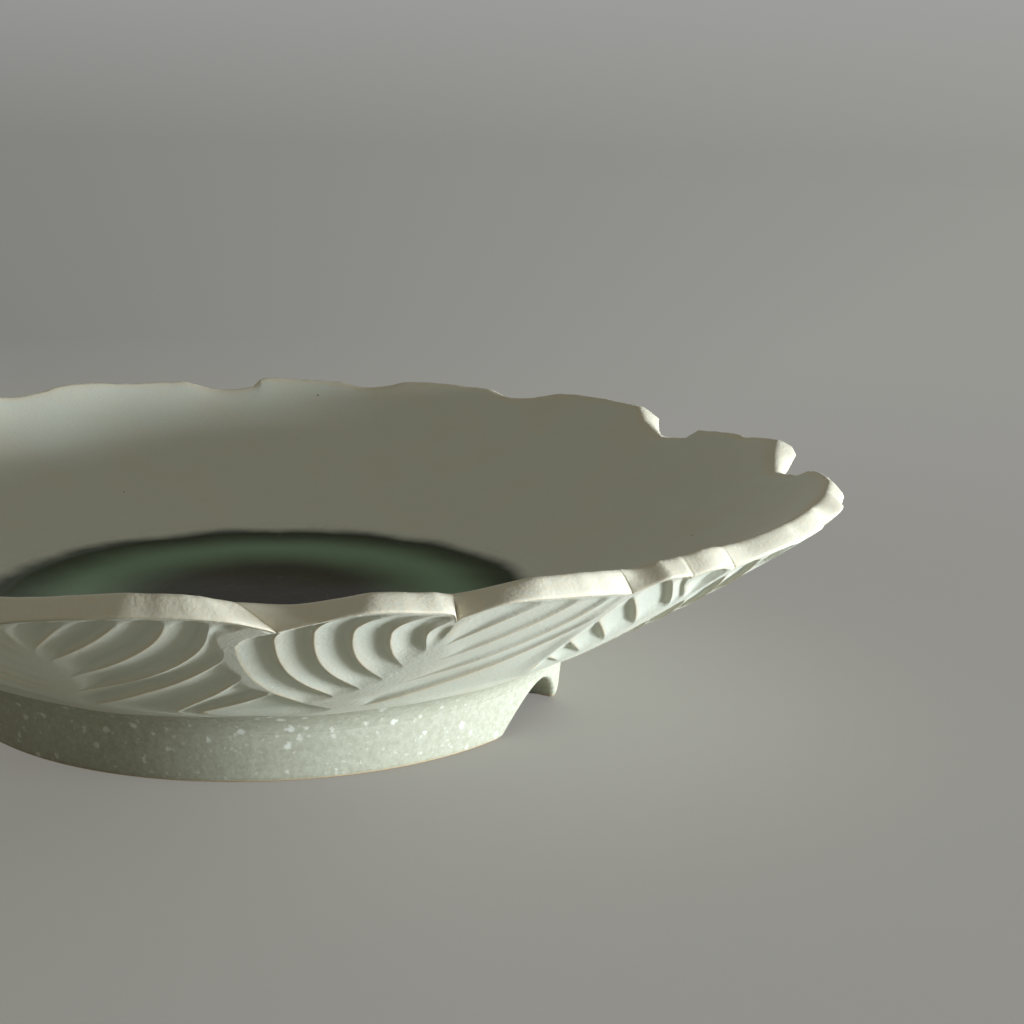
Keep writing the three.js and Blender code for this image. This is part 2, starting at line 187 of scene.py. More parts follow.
def line_azimuth(line, distance, under_cut):
    """Azimuth of a ridge from the start of its leaf, at a distance up the wall and a depth under the cut,
    the same if no other line held it, and the azimuths of the midrib and of the leaf's end."""
    below = np.maximum(wall_length - distance, 0)
    sweep = (np.maximum(below - SWEEP_TOP, 0) / SWEEP_DEPTH) ** 2
    curl = SHORT_START * np.sqrt(1 - np.clip(1 - (under_cut - CURL_TOP) / CURL_DEPTH, 0, 1) ** 2)
    edge = (1 - col["edge_flutes"]) * curl + SHORT_SWEEP * sweep ** SHORT_BEND
    end = (1 - col["next_edge_flutes"]) * curl + SHORT_SWEEP * sweep ** SHORT_BEND + col["pitch"]
    edge_leaf = col["edge_flutes"] > 0
    spacing = np.where(edge_leaf, EDGE_SPACING, RIDGE_SPACING)
    lean = np.where(edge_leaf, -EDGE_MIDRIB * ease(below, *EDGE_MIDRIB_RUN), MIDRIB_LEAN * sweep ** 2)
    midrib = -lower(-col["midrib"] + lean, -edge - spacing * col["shorts"], BLEND)
    short = edge + line * (col["short_step"] + SHORT_FAN * sweep * (1 - col["edge_flutes"]))
    short = short + col["edge_flutes"] * (EDGE_LEAN * below - EDGE_FLUTES * col["short_step"])
    held_short = -lower(-short, -edge - spacing * line, EDGE_BLEND * col["edge_flutes"] + LEAST_BLEND)
    held_short = lower(held_short, midrib - spacing * (col["shorts"] - line), BLEND)
    held_short = np.where(line == 0, edge, held_short)
    order = line - col["shorts"] - 1
    share = order / np.minimum(col["longs"], MOST_STEPS)
    places = np.linspace(0, 1, len(LONG_SWEEP) + 1)[1:]
    reach, bend = np.interp(share, places, LONG_SWEEP), np.interp(share, places, LONG_BEND)
    long = col["midrib"] + LONG_START + col["long_step"] * order - reach * (below / SWEEP_DEPTH) ** bend
    least = midrib + RIDGE_SPACING * (order + 1)
    most = end - RIDGE_SPACING * (col["lines"] - line)
    held_long = lower(-lower(-long, -least, BLEND), most, BLEND)
    held_long, long = (np.where(order == 0, least, value) for value in (held_long, long))
    kinds = [line == col["lines"], line < col["shorts"], line == col["shorts"]]
    held = np.select(kinds, [end, held_short, midrib], held_long)
    free = np.select(kinds, [end, short, midrib], long)
    return held, free, midrib, end


def column_azimuth(distance, under_cut):
    """Azimuth of every column at its distance up the wall, the width of its flute, and how far the gouge
    cuts there, which is not at all where the midrib or the leaf's end spares the wall."""
    ridge, free_ridge, midrib, end = line_azimuth(col["line"], distance, under_cut)
    following, free_following, _, _ = line_azimuth(col["line"] + 1, distance, under_cut)
    even = col["pitch"] * (col["line"] + col["across"]) / col["lines"]
    on_flute = ridge + (following - ridge) * col["across"]
    azimuth = on_flute + (even - on_flute) * (1 - ease(distance, 0, CARVING_FOOT + CARVING_FADE))
    free = free_ridge + (free_following - free_ridge) * col["across"]
    below = wall_length - distance
    room = np.where(short_flute, midrib - free, free - midrib)
    clear = ease(room, FADE_FROM, LEAST_FADE + MIDRIB_FADE * ease(below, *MIDRIB_FADE_RUN))
    ended = ease(end - free, FADE_FROM, LEAST_FADE + END_FADE * ease(below, *END_FADE_RUN))
    return azimuth, following - ridge, clear * np.where(short_flute, 1, ended)


# The outline of the cut: the outer edge is notched sharply where a lobe ends, the inner edge dips gently
rim_azimuth = column_azimuth(np.full(column_count, wall_length + 1), 0.0)[0]
on_short = rim_azimuth <= col["midrib"]
lobe_width = np.where(on_short, col["midrib"], col["pitch"] - col["midrib"])
lobe_share = np.clip(np.where(on_short, rim_azimuth, rim_azimuth - col["midrib"]) / lobe_width, 0, 1)
to_end = 1 - lobe_share
notched = np.clip(col["mid_notch"] / FULL_NOTCH, 0, 1)
short_drop = col["notch"] * np.maximum(1 - lobe_share / SHORT_RISE_SHARE, 0) ** SHORT_RISE_BEND
short_drop += notched * SHORT_FALL * np.maximum(1 - to_end / SHORT_FALL_SHARE, 0) ** SHORT_FALL_BEND
short_drop += notched * LOBE_CORNER * np.maximum(1 - to_end / CORNER_SHARE, 0) ** 2
fallen = np.maximum(1 - to_end / LONG_FALL_SHARE, 0) ** col["late"]
long_drop = col["mid_notch"] * np.maximum(1 - lobe_share / col["rise"], 0) ** LONG_RISE_BEND
long_drop += (col["next_notch"] + NOTCH_STEP) * fallen
dip, mid_dip, next_dip = (INNER_SHARE * col[name] for name in ("notch", "mid_notch", "next_notch"))
short_inner = dip * (CREASE_LEVEL + (1 - CREASE_LEVEL) * ease(lobe_share, *INNER_START))
short_inner += (SHORT_INNER_CREST - dip) * ease(lobe_share, *INNER_RISE)
inner_fall = sum(part * ease(lobe_share, *run) for part, *run in INNER_FALLS)
short_inner += (mid_dip - SHORT_INNER_CREST) * inner_fall
long_inner = mid_dip * (1 - ease(lobe_share, 0, np.maximum(col["rise"], LONG_INNER_RISE)))
long_inner += CREASE_LEVEL * next_dip * fallen
rim_turn = np.radians(col["start"] + rim_azimuth)
rim_level = wall_length + RIM_LEVEL * np.cos(rim_turn + RIM_TILT)
rim_level += CUT_WOBBLE * sum(np.sin(count * rim_turn + phase) for count, phase in CUT_WAVES)
rim_distance = rim_level + OUTER_CREST - np.where(on_short, short_drop, long_drop)
inner_distance = rim_level + INNER_CREST - np.where(on_short, short_inner, long_inner)
cut_level = rim_distance + np.where(on_short, 0, CUT_MARGIN * NOTCH_STEP * fallen)
starting = col["crease"] * (1 - ease(lobe_share, 0, CREASE_REACH))
ending = col["next_crease"] * ease(lobe_share, 1 - CREASE_REACH, 1)
inner_azimuth = rim_azimuth - np.where(on_short, starting, ending)


def hand(azimuth, distance, size):
    """The potter's hand: how far the clay stands off its true shape."""
    turn = np.radians(azimuth)
    waves = (
        part * np.sin(count * turn + slant * distance + phase) for part, count, slant, phase in HAND_WAVES
    )
    return size * sum(waves)


# The gouge's section across each flute, the arch over it and the wear beside its ridges
entering = col["across"] / DEEPEST_SHARE
leaving = np.maximum(col["across"] - DEEPEST_SHARE, 0) / (1 - DEEPEST_SHARE)
section = np.where(
    col["across"] < DEEPEST_SHARE,
    FLUTE_FLAT * entering + (1 - FLUTE_FLAT) * np.sin(np.pi / 2 * entering),
    np.cos(np.pi / 2 * leaving) ** FLUTE_RISE,
)
section[on_midrib] = 0
arch = ARCH * np.maximum(1 - col["across"] / ARCH_SHARE, 0) ** 2
arch += CORNER * np.maximum((col["across"] - CORNER_FROM) / (1 - CORNER_FROM), 0) ** 2
arch[short_flute & (col["edge_flutes"] == 0)] *= SHORT_ARCH
ridge_wear = 1 - ease(col["across"], *RIDGE_AFTER) + ease(col["across"], *RIDGE_BEFORE)

# The surface of the dish row by row: up the outside, over the cut, down the inside and into the well
rows = []
for row in range(OUTER_ROWS + 1):
    distance = rim_distance * (1 - (1 - row / (OUTER_ROWS + 1)) ** ROW_CROWDING)
    azimuth, flute_width, spared = column_azimuth(distance, cut_level - distance)
    flute_width = np.radians(flute_width) * wall_point(distance, 0)[0]
    full = np.minimum(FLUTE_DEPTH, FLUTE_RATIO * flute_width * ease(flute_width, *NARROW_FLUTE))
    below_arch = rim_distance - FLUTE_TOP - arch - distance
    entry = np.sqrt(1 - (1 - np.clip(below_arch / FLUTE_END, 0, 1)) ** 2)
    carved = entry * ease(distance, CARVING_FOOT, CARVING_FOOT + CARVING_FADE) * spared
    cut = full * col["gouge"] * section * carved
    lip = np.where(on_midrib, 0, LIP_WEAR - LIP_WEAR * ease(np.abs(below_arch), *LIP_WIDTH)) * spared
    worn = np.maximum(ridge_wear * carved, lip) * ease(flute_width, *WORN_WIDTH)
    radius, height = wall_point(distance, cut + hand(col["start"] + azimuth, distance, OUTSIDE_WAVE))
    rows.append((radius, height, azimuth, worn - HOLLOW * cut / FLUTE_DEPTH))
for depth, past in CUT_EDGE:
    inward = max(depth, 0) / RIM_THICKNESS
    distance = rim_distance + (inner_distance - rim_distance) * inward + past
    radius, height = wall_point(distance, depth)
    azimuth = rim_azimuth + (inner_azimuth - rim_azimuth) * inward
    worn = BAND_WEAR + (1 - BAND_WEAR) * max(0.0, 1 - abs(depth) / ARRIS)
    rows.append((radius, height, azimuth, np.full(column_count, worn)))
inner_rim = distance
well_azimuth = column_azimuth(np.zeros(column_count), rim_distance)[0]
for row in range(1, INNER_ROWS + 1):
    down = (row / INNER_ROWS) ** INNER_CROWDING
    distance = inner_rim * (1 - down)
    thickness = WALL_BASE_THICKNESS + (RIM_THICKNESS - WALL_BASE_THICKNESS) * distance / wall_length
    azimuth = inner_azimuth + (well_azimuth - inner_azimuth) * down
    ripple = hand(col["start"] + azimuth, distance, INSIDE_WAVE) * (1 - down)
    radius, height = wall_point(distance, thickness + ripple)
    rows.append((radius, height, azimuth, np.zeros(column_count)))
well_side = (
    (WELL_RADIUS + WELL_LIP_WIDTH, WELL_TOP + WELL_LIP_ROUND), (WELL_RADIUS, WELL_TOP - WELL_LIP_ROUND),
    (WELL_BED_RADIUS, WELL_BED),
)
for well_point in well_side:
    radius, height = (np.full(column_count, value) for value in well_point)
    rows.append((radius, height, well_azimuth, np.zeros(column_count)))
radius, height, azimuth, glaze_break = (np.array(part) for part in zip(*rows))
turn = np.radians(col["start"] + azimuth)
surface = np.stack([radius * np.cos(turn), radius * np.sin(turn), height], axis=-1)
poles = [np.tile((0.0, 0.0, level), (1, column_count, 1)) for level in (FLOOR_UNDERSIDE, WELL_BED)]
surface = np.concatenate([poles[0], surface, poles[1]]) * MM
glaze_break = np.pad(glaze_break, ((1, 1), (0, 0)))

# A flat sheet of faces is wrapped round onto those rows and columns, and its seam and poles are closed
bm = bmesh.new()
bmesh.ops.create_grid(bm, x_segments=column_count, y_segments=len(surface) - 1, size=0.5)
break_layer = bm.verts.layers.float.new("glaze_break")
for vert in bm.verts:
    column = round((vert.co.x + 0.5) * column_count) % column_count
    row = round((vert.co.y + 0.5) * (len(surface) - 1))
    vert[break_layer] = glaze_break[row, column]
    vert.co = surface[row, column]
bmesh.ops.remove_doubles(bm, verts=bm.verts, dist=MERGE_DISTANCE)
bmesh.ops.recalc_face_normals(bm, faces=bm.faces)
for face in bm.faces:
    face.smooth = True
dish_mesh = bpy.data.meshes.new("dish_carved")
bm.to_mesh(dish_mesh)
bm.free()


def linear(colour):
    """An sRGB hex colour as the linear values that a shader takes."""
    parts = [int(colour[at:at + 2], 16) / 255 for at in (1, 3, 5)]
    return [part / 12.92 if part <= 0.04045 else ((part + 0.055) / 1.055) ** 2.4 for part in parts] + [1.0]


def node(tree, kind, inputs=None, **settings):
    """Adds a node with its settings; an input is a plain value or the output that it is linked to."""
    made = tree.nodes.new("ShaderNode" + kind)
    for name, value in settings.items():
        setattr(made, name, value)
    for name, value in (inputs or {}).items():
        if isinstance(value, bpy.types.NodeSocket):
            tree.links.new(value, made.inputs[name])
        else:
            made.inputs[name].default_value = value
    return made


# Satin ash glaze on stoneware: dipped, so it lies thin and cream over every cut edge, thick and a
# little cooler in the hollows, with soft mottling, a fine eggshell grain and a few iron specks.
GLAZE_BODY, GLAZE_WARM, GLAZE_THICK, GLAZE_THIN = "#E2E4D8", "#E4E1D1", "#D3D8CB", "#E7DDC6"
IRON_SPECK = "#8C7C63"
MOTTLE_SIZE, GRAIN_SIZE, PEEL_SIZE, SPECK_SPACING = 14.0, 0.65, 3.2, 11.0
ash_glaze = bpy.data.materials.new("satin_ash_glaze")
ash_glaze.use_nodes = True
tree = ash_glaze.node_tree
place = node(tree, "TexCoord").outputs["Object"]
mottle = node(
    tree, "TexNoise", {"Vector": place, "Scale": 1 / (MOTTLE_SIZE * MM), "Detail": 4.0, "Roughness": 0.6}
)
grain = node(tree, "TexNoise", {"Vector": place, "Scale": 1 / (GRAIN_SIZE * MM), "Detail": 2.0})
peel = node(tree, "TexNoise", {"Vector": place, "Scale": 1 / (PEEL_SIZE * MM), "Detail": 2.0})
laid = node(tree, "Attribute", attribute_name="glaze_break")
warm = node(tree, "MapRange", {"Value": mottle.outputs["Fac"], "From Min": 0.42, "From Max": 0.66})
body = node(
    tree, "MixRGB", {"Fac": warm.outputs[0], "Color1": linear(GLAZE_BODY), "Color2": linear(GLAZE_WARM)}
)
thick = node(tree, "MapRange", {"Value": laid.outputs["Fac"], "From Min": -0.1, "From Max": -0.8})
pooled = node(
    tree, "MixRGB", {"Fac": thick.outputs[0], "Color1": body.outputs[0], "Color2": linear(GLAZE_THICK)}
)
worn = node(tree, "Math", {0: laid.outputs["Fac"], 1: grain.outputs["Fac"]}, operation="MULTIPLY")
thin = node(tree, "MapRange", {"Value": worn.outputs[0], "From Min": 0.08, "From Max": 0.5})
broken = node(
    tree, "MixRGB", {"Fac": thin.outputs[0], "Color1": pooled.outputs[0], "Color2": linear(GLAZE_THIN)}
)
specks = node(tree, "TexVoronoi", {"Vector": place, "Scale": 1 / (SPECK_SPACING * MM)})
speck = node(tree, "MapRange", {"Value": specks.outputs["Distance"], "From Min": 0.03, "From Max": 0.018})
iron = node(
    tree, "MixRGB", {"Fac": speck.outputs[0], "Color1": broken.outputs[0], "Color2": linear(IRON_SPECK)}
)
satin = node(tree, "MapRange", {"Value": mottle.outputs["Fac"], "To Min": 0.6, "To Max": 0.76})
skin = node(tree, "Math", {0: peel.outputs["Fac"], 1: grain.outputs["Fac"], 2: 0.5}, operation="MULTIPLY_ADD")
relief = node(tree, "Bump", {"Height": skin.outputs[0], "Strength": 0.85, "Distance": 0.15 * MM})
shader = tree.nodes["Principled BSDF"]
shader.inputs["IOR"].default_value = 1.5
tree.links.new(iron.outputs[0], shader.inputs["Base Color"])
tree.links.new(satin.outputs[0], shader.inputs["Roughness"])
tree.links.new(relief.outputs[0], shader.inputs["Normal"])
dish_mesh.materials.append(ash_glaze)

dish = bpy.data.objects.new("carved_dish", dish_mesh)
bpy.context.scene.collection.objects.link(dish)
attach(dish, "root")
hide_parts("dish")

# Foot ring: a turned ring of the same clay with an arched notch cut through each of two sides. It was
# dipped with the dish, grew white crystals in the kiln and was wiped bare along its standing edge.
FOOT_RADIUS, FOOT_TOP_RADIUS, FOOT_INNER_RADIUS, FOOT_TOP, FOOT_EDGE = 58.6, 59.5, 52.1, 11.9, 1.2
NOTCH_WIDTH, NOTCH_HEIGHT, NOTCH_SIDE, NOTCH_FULLNESS = 26.0, 7.7, -1.0, 0.45
FOOT_STEPS, EDGE_STEPS, SIDE_ROWS, INSIDE_MARGIN = 288, 5, 8, 0.1
BARE_HEIGHT, BARE_FADE = 0.3, 0.45


def spin_section(name, points, steps):
    """A closed ring from section points in radius and height, spun about the axis of the plate."""
    bm = bmesh.new()
    section = [bm.verts.new((radius * MM, 0, height * MM)) for radius, height in points]
    for at, vert in enumerate(section):
        if at or points[0][0] > 0:
            bm.edges.new((section[at - 1], vert))
    bmesh.ops.spin(
        bm, geom=bm.verts[:] + bm.edges[:], cent=(0, 0, 0), axis=(0, 0, 1), dvec=(0, 0, 0),
        angle=2 * np.pi, steps=steps, use_merge=True, use_duplicate=False, use_normal_flip=False,
    )
    bmesh.ops.remove_doubles(bm, verts=bm.verts, dist=MERGE_DISTANCE)
    bmesh.ops.recalc_face_normals(bm, faces=bm.faces)
    for face in bm.faces:
        face.smooth = True
    mesh = bpy.data.meshes.new(name)
    bm.to_mesh(mesh)
    bm.free()
    return mesh


edge_turn = np.linspace(0, np.pi / 2, EDGE_STEPS)
side_rise = FOOT_TOP - FOOT_EDGE
outer_side = [
    (FOOT_RADIUS - FOOT_EDGE + FOOT_EDGE * np.sin(angle), FOOT_EDGE - FOOT_EDGE * np.cos(angle))
    for angle in edge_turn
]
outer_side += [
    (FOOT_RADIUS + (FOOT_TOP_RADIUS - FOOT_RADIUS) * share, FOOT_EDGE + side_rise * share)
    for share in np.linspace(0, 1, SIDE_ROWS + 1)[1:]
]
inner_side = [
    (FOOT_INNER_RADIUS, FOOT_EDGE + side_rise * share) for share in np.linspace(1, 0, SIDE_ROWS + 1)
]
inner_side += [
    (FOOT_INNER_RADIUS + FOOT_EDGE - FOOT_EDGE * np.cos(angle), FOOT_EDGE - FOOT_EDGE * np.sin(angle))
    for angle in edge_turn[1:]
]
foot_mesh = spin_section("foot_ring_notched", outer_side + inner_side, FOOT_STEPS)

# The notches: the foot's lower edge is lifted into an arch where it meets the X axis on each side, and
# what is lifted keeps to the taper of the outside
taper = (FOOT_TOP_RADIUS - FOOT_RADIUS) / side_rise
wiped = foot_mesh.attributes.new("bare_clay", "FLOAT", "POINT")
for vert in foot_mesh.vertices:
    height = vert.co.z / MM
    from_middle = np.clip(2 * (vert.co.y / MM - NOTCH_SIDE) / NOTCH_WIDTH, -1, 1)
    lift = NOTCH_HEIGHT * ((1 + np.cos(np.pi * from_middle)) / 2) ** NOTCH_FULLNESS
    vert.co.z = (lift + height * (FOOT_TOP - lift) / FOOT_TOP) * MM
    radius = vert.co.xy.length / MM
    if radius > FOOT_INNER_RADIUS + FOOT_EDGE + INSIDE_MARGIN:
        vert.co.xy *= 1 + taper * (vert.co.z / MM - height) / radius
    wiped.data[vert.index].value = 1 - ease(vert.co.z / MM, BARE_HEIGHT, BARE_HEIGHT + BARE_FADE)
foot_mesh.update()

# The same glaze, but grown full of small white crystals, over clay that fired to warm tan: the crystals
# come in three sizes, each with its spacing, the largest share of that it covers, and its strength
FOOT_GREY, FOOT_PALE, CRYSTAL, BARE_CLAY = "#B3B2A0", "#C3C4B4", "#F4F6F0", "#DCC7A4"
CURD_SIZE, CRYSTALS, BENT = 1.1, ((3.4, 0.33, 0.8), (2.2, 0.33, 0.6), (1.1, 0.36, 0.35)), 1.7
crystal_glaze = bpy.data.materials.new("crystal_ash_glaze")
crystal_glaze.use_nodes = True
tree = crystal_glaze.node_tree
place = node(tree, "TexCoord").outputs["Object"]
grain = node(tree, "TexNoise", {"Vector": place, "Scale": 1 / (GRAIN_SIZE * MM), "Detail": 2.0})
curds = node(
    tree, "TexNoise", {"Vector": place, "Scale": 1 / (CURD_SIZE * MM), "Detail": 4.0, "Roughness": 0.7}
)
curd = node(tree, "MapRange", {"Value": curds.outputs["Fac"], "From Min": 0.36, "From Max": 0.64})
body = node(
    tree, "MixRGB", {"Fac": curd.outputs[0], "Color1": linear(FOOT_GREY), "Color2": linear(FOOT_PALE)}
)
shifted = node(
    tree, "MixRGB", {"Fac": BENT * MM, "Color1": place, "Color2": curds.outputs["Color"]}, blend_type="ADD"
)
layers = body.outputs[0]
for spacing, largest, strength in CRYSTALS:
    cells = node(tree, "TexVoronoi", {"Vector": shifted.outputs[0], "Scale": 1 / (spacing * MM)})
    chance = node(tree, "SeparateColor", {"Color": cells.outputs["Color"]})
    reach = node(tree, "MapRange", {"Value": chance.outputs[0], "From Min": 0.25, "To Max": largest})
    inside = node(tree, "Math", {0: reach.outputs[0], 1: cells.outputs["Distance"]}, operation="SUBTRACT")
    bright = node(tree, "MapRange", {"Value": inside.outputs[0], "From Max": 0.13, "To Max": strength})
    spots = node(tree, "MixRGB", {"Fac": bright.outputs[0], "Color1": layers, "Color2": linear(CRYSTAL)})
    layers = spots.outputs[0]
specks = node(tree, "TexVoronoi", {"Vector": place, "Scale": 1 / (SPECK_SPACING * MM)})
speck = node(tree, "MapRange", {"Value": specks.outputs["Distance"], "From Min": 0.035, "From Max": 0.02})
iron = node(tree, "MixRGB", {"Fac": speck.outputs[0], "Color1": layers, "Color2": linear(IRON_SPECK)})
wiped_off = node(tree, "Attribute", attribute_name="bare_clay")
ragged = node(
    tree, "Math", {0: grain.outputs["Fac"], 1: 0.5, 2: wiped_off.outputs["Fac"]}, operation="MULTIPLY_ADD"
)
bare = node(tree, "MapRange", {"Value": ragged.outputs[0], "From Min": 0.7, "From Max": 0.95})
clay = node(tree, "MixRGB", {"Fac": bare.outputs[0], "Color1": iron.outputs[0], "Color2": linear(BARE_CLAY)})
satin = node(tree, "MapRange", {"Value": bare.outputs[0], "To Min": 0.76, "To Max": 0.9})
relief = node(tree, "Bump", {"Height": grain.outputs["Fac"], "Strength": 0.3, "Distance": 0.1 * MM})
shader = tree.nodes["Principled BSDF"]
shader.inputs["IOR"].default_value = 1.5
tree.links.new(clay.outputs[0], shader.inputs["Base Color"])
tree.links.new(satin.outputs[0], shader.inputs["Roughness"])
tree.links.new(relief.outputs[0], shader.inputs["Normal"])
foot_mesh.materials.append(crystal_glaze)

foot = bpy.data.objects.new("notched_foot", foot_mesh)
bpy.context.scene.collection.objects.link(foot)
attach(foot, "root")
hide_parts("foot_ring")

# Luting slip: a saddle of wet clay between the foot and the dish that joins them, wiped to a soft
# cove on each side. The glaze runs over it, so that dish and foot read as one pot.
COVE_STEPS = 9
OUTER_COVE = ((59.12, 8.2), (59.5, 11.45), (64.0, 13.62))
INNER_COVE = ((49.4, 12.5), (52.0, 12.2), (52.2, 9.2))
coves = []
for cove in (OUTER_COVE, INNER_COVE):
    points = curve(*np.array(cove), np.linspace(0, 1, COVE_STEPS)[:, None])
    coves.append([tuple(point) for point in points])
slip_section = coves[0] + [(WALL_FOOT_RADIUS, FLOOR_UNDERSIDE)] + coves[1]
slip_section += [(FOOT_INNER_RADIUS, FOOT_TOP), (FOOT_TOP_RADIUS, FOOT_TOP)]
slip_mesh = spin_section("slip_coves", slip_section, FOOT_STEPS)
slip_mesh.materials.append(crystal_glaze)
slip = bpy.data.objects.new("luting_slip_cove", slip_mesh)
bpy.context.scene.collection.objects.link(slip)
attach(slip, "root")
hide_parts("luting_slip")

# Pool: crushed bottle glass melted in the well during the firing. It set level and glossy; its colour runs
# from brown-black over the middle through a lighter green ring and a dark green ring to pale where it climbs
# the side.
POOL_RADIUS, POOL_BED_RADIUS, POOL_LEVEL, POOL_EDGE = 57.6, 54.9, 17.8, 18.95
MENISCUS, MENISCUS_BEND, MENISCUS_ROWS, POOL_STEPS = 8.0, 1.5, 10, 192
LEVEL_RINGS = (44.0, 34.0, 22.0, 10.0, 0.0)
pool_section = [(0.0, WELL_BED), (POOL_BED_RADIUS, WELL_BED), (POOL_RADIUS, POOL_EDGE)]
pool_section += [
    (POOL_RADIUS - MENISCUS * share, POOL_LEVEL + (POOL_EDGE - POOL_LEVEL) * (1 - share) ** MENISCUS_BEND)
    for share in np.linspace(0, 1, MENISCUS_ROWS + 1)[1:]
]
pool_section += [(radius, POOL_LEVEL) for radius in LEVEL_RINGS]
pool_mesh = spin_section("glass_pool", pool_section, POOL_STEPS)

# The glass's colours at shares of the radius, drifting a little, with pale crazing
GLASS_CENTRE, GLASS_SHORE = (0.3, "#2A2410"), (0.975, "#E0E1D3")
GLASS_BETWEEN = ((0.63, "#82A288"), (0.885, "#28381F"))
GLASS_VEIN = "#6A8069"
SWIRL_SIZE, DRIFT, CRACKLE_SPACING = 18.0, 6.0, 7.0
bottle_glass = bpy.data.materials.new("melted_bottle_glass")
bottle_glass.use_nodes = True
tree = bottle_glass.node_tree
place = node(tree, "TexCoord").outputs["Object"]
flat = node(tree, "Mapping", {"Vector": place, "Scale": (1.0, 1.0, 0.0)})
swirl = node(tree, "TexNoise", {"Vector": flat.outputs[0], "Scale": 1 / (SWIRL_SIZE * MM), "Detail": 3.0})
out = node(tree, "VectorMath", {0: flat.outputs[0]}, operation="LENGTH")
drift = node(
    tree, "Math", {0: swirl.outputs["Fac"], 1: DRIFT * MM, 2: out.outputs["Value"]}, operation="MULTIPLY_ADD"
)
outward = node(
    tree, "MapRange",
    {"Value": drift.outputs[0], "From Min": DRIFT / 2 * MM, "From Max": (POOL_RADIUS + DRIFT / 2) * MM},
)
tint = node(tree, "ValToRGB", {"Fac": outward.outputs[0]})
ramp = tint.color_ramp
ramp.interpolation = "EASE"
for stop, (position, colour) in zip(ramp.elements, (GLASS_CENTRE, GLASS_SHORE)):
    stop.position, stop.color = position, linear(colour)
for position, colour in GLASS_BETWEEN:
    ramp.elements.new(position).color = linear(colour)
cracks = node(
    tree, "TexVoronoi", {"Vector": flat.outputs[0], "Scale": 1 / (CRACKLE_SPACING * MM)},
    feature="DISTANCE_TO_EDGE",
)
crack = node(
    tree, "MapRange", {"Value": cracks.outputs["Distance"], "From Min": 0.02, "From Max": 0.0, "To Max": 0.2}
)
veined = node(
    tree, "MixRGB", {"Fac": crack.outputs[0], "Color1": tint.outputs[0], "Color2": linear(GLASS_VEIN)}
)
shader = tree.nodes["Principled BSDF"]
shader.inputs["IOR"].default_value = 1.52
shader.inputs["Specular IOR Level"].default_value = 0.0
shader.inputs["Coat Weight"].default_value = 0.35
shader.inputs["Coat Roughness"].default_value = 0.08
tree.links.new(veined.outputs[0], shader.inputs["Base Color"])
pool_mesh.materials.append(bottle_glass)

pool = bpy.data.objects.new("glass_pool", pool_mesh)
bpy.context.scene.collection.objects.link(pool)
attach(pool, "root")
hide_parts("well_glaze")

# Studio: a wide plain floor of pale grey card. The camera sees it in greys with painted light falloff,
# darker on the left away from the window and darkest far off on the left, behind the plate; it keeps the
# plate's soft shadow and bounces light up under the flared wall. Its lengths are in metres, and each pair of
# greys runs from left to right across the picture.
FLOOR_REACH, FLOOR_SIDES = 6.0, 96
SHADOW_FROM, SHADOW_REACH, SHADOW_SHARE = 0.08, 0.34, 0.28
FLOOR_CARD, CARD_ROUGHNESS = "#D6D3C8", 0.9
# Painted light falloff: these greys darken to the left, away from the window, and the far left one is painted
# shade behind the plate.
NEAR_FALLOFF_GREYS, FAR_FALLOFF_GREYS, FAR_FROM, FAR_REACH = ("#8E8C86", "#959490"), ("#81827E", "#989893"), 0.2, 0.62
PICTURE_RIGHT, GREY_RUN = (0.93, 0.37, 0.0), 0.35


def seen_directly(tree):
    """1 for a ray from the camera, straight, by a reflection or through glass, and 0 for other light."""
    rays = node(tree, "LightPath").outputs
    straight = rays["Is Camera Ray"]
    for kind in ("Is Glossy Ray", "Is Transmission Ray"):
        straight = node(tree, "Math", {0: straight, 1: rays[kind]}, operation="MAXIMUM").outputs[0]
    return straight


def painted_falloff_across(tree, way, greys):
    """Painted light falloff: the first of two greys at the left of the picture, darker away from the window,
    running to the second at its right.
    """
    side = node(tree, "VectorMath", {0: way, 1: PICTURE_RIGHT}, operation="DOT_PRODUCT").outputs["Value"]
    run = node(tree, "MapRange", {"Value": side, "From Min": -GREY_RUN, "From Max": GREY_RUN}).outputs[0]
    left, right = (linear(grey) for grey in greys)
    return node(tree, "MixRGB", {"Fac": run, "Color1": left, "Color2": right}).outputs[0]


bm = bmesh.new()
bmesh.ops.create_circle(bm, cap_ends=True, segments=FLOOR_SIDES, radius=FLOOR_REACH)
floor_mesh = bpy.data.meshes.new("floor_card")
bm.to_mesh(floor_mesh)
bm.free()
card = bpy.data.materials.new("grey_card")
card.use_nodes = True
tree = card.node_tree
shader = tree.nodes["Principled BSDF"]
shader.inputs["Base Color"].default_value = linear(FLOOR_CARD)
shader.inputs["Roughness"].default_value = CARD_ROUGHNESS
place = node(tree, "TexCoord").outputs["Object"]
out = node(tree, "VectorMath", {0: place}, operation="LENGTH").outputs["Value"]
way = node(tree, "VectorMath", {0: place}, operation="NORMALIZE").outputs[0]
shadowed = node(
    tree, "MapRange",
    {"Value": out, "From Min": SHADOW_FROM, "From Max": SHADOW_REACH, "To Min": SHADOW_SHARE, "To Max": 0.0},
)
distant = node(tree, "MapRange", {"Value": out, "From Min": FAR_FROM, "From Max": FAR_REACH})
near_falloff, far_falloff = (painted_falloff_across(tree, way, greys) for greys in (NEAR_FALLOFF_GREYS, FAR_FALLOFF_GREYS))
grey = node(tree, "MixRGB", {"Fac": distant.outputs[0], "Color1": near_falloff, "Color2": far_falloff})
falloff_emission = node(tree, "Emission", {"Color": grey.outputs[0]})
seen = node(tree, "MixShader", {0: shadowed.outputs[0], 1: falloff_emission.outputs[0], 2: shader.outputs[0]})
